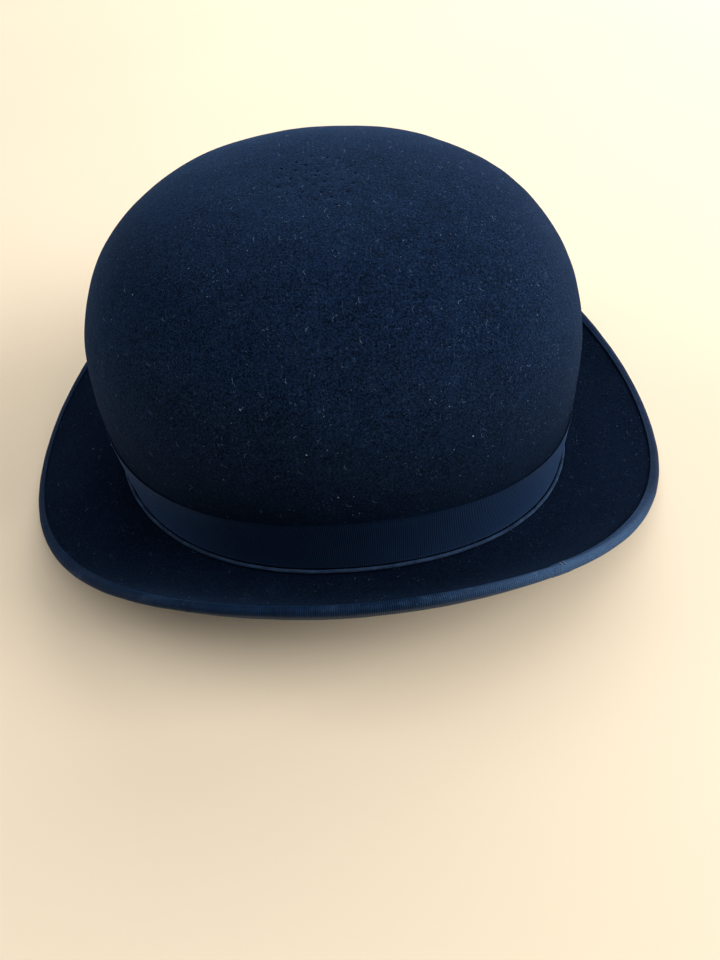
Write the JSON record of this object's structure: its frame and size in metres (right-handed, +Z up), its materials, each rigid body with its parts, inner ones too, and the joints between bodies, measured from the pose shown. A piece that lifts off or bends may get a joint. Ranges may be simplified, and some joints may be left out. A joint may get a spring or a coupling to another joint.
{
  "type": "bowler hat",
  "caption": "Stiff felt bowler hat with a round domed crown, ribbon band and side bow, a bound brim rolled up at the sides, leather sweatband and satin lining.",
  "frame": {"origin": "on the surface the hat stands on, under the middle of the brim's outline", "axes": "+X to the front of the hat, +Y to the wearer's left where the bow is, +Z up through the crown"},
  "size_m": [0.2828, 0.2402, 0.135],
  "materials": {
    "felt": "smooth stiffened fur felt with a short brushed nap",
    "grosgrain": "ribbed grosgrain ribbon with a dull silk sheen",
    "cord": "fine twisted cord, slightly dusty",
    "binding": "ribbed grosgrain binding folded over the brim edge",
    "sweat_leather": "tan roan leather, fine grain, semi-matt",
    "tape": "plain woven cotton tape",
    "reed": "smooth round reed",
    "thread": "waxed linen thread",
    "satin": "pale satin lining with soft gathers",
    "tab": "plain woven tab"
  },
  "bodies": {
    "root": {"felt_body": "felt", "crown_band": "grosgrain", "band_cord": "cord", "bow_base": "grosgrain", "bow_loop_front": "grosgrain", "bow_loop_back": "grosgrain", "bow_knot": "grosgrain", "brim_binding": "binding", "binding_join": "binding", "sweatband": "sweat_leather", "sweatband_tape": "tape", "sweatband_reed": "reed", "sweatband_stitches": "thread", "sweatband_seam_tape": "tape", "sweatband_bow_loops": "tape", "sweatband_bow_knot": "tape", "size_tab": "tab", "lining_side": "satin", "lining_tip": "satin", "lining_piping": "satin"}
  },
  "joints": []
}
